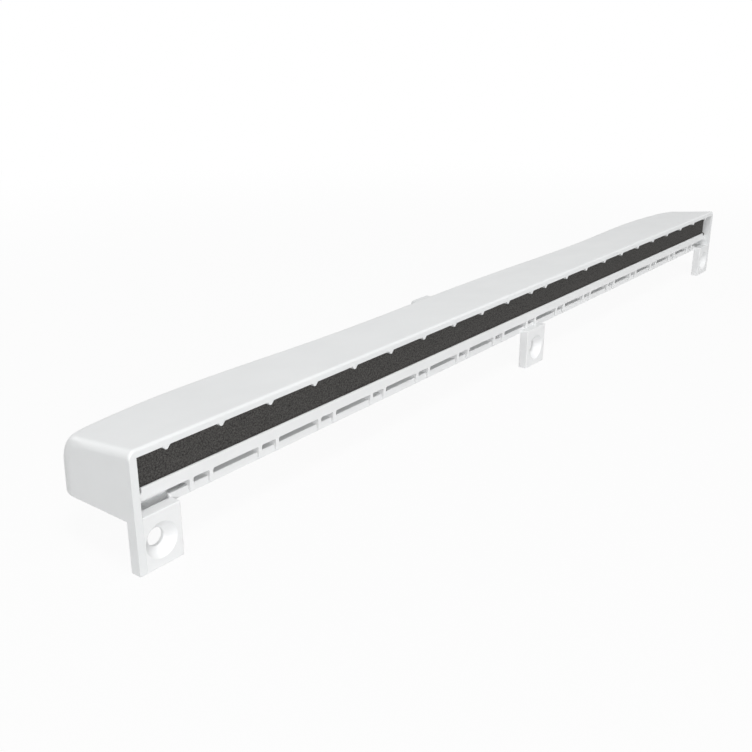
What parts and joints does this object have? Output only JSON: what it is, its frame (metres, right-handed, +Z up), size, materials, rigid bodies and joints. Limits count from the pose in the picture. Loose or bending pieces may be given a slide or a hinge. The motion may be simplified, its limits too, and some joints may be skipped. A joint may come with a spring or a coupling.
{
  "type": "window trickle vent",
  "caption": "Slim moulded window trickle vent with a sloping waved cover, screw ears, an acoustic foam strip behind a slotted rail and a sliding shutter worked by a finger tab.",
  "frame": {"origin": "middle screw hole, where its axis meets the sash face that the ears lie against", "axes": "+X along the vent, +Y from the sash face into the room, +Z up"},
  "size_m": [0.35, 0.0355, 0.0297],
  "materials": {
    "cover_white": "satin moulded",
    "base_white": "satin moulded",
    "shutter_white": "matt moulded",
    "foam_grey": "open-cell foam"
  },
  "bodies": {
    "body": {"cover": "cover_white", "base_frame": "base_white", "foam_tray": "base_white", "foam_strip": "foam_grey"},
    "shutter": {"shutter": "shutter_white", "finger_tab": "cover_white"}
  },
  "joints": [
    {"name": "shutter_slide", "type": "slide", "parent": "body", "child": "shutter", "axis": [1, 0, 0], "range_m": [0, 0.011]}
  ]
}
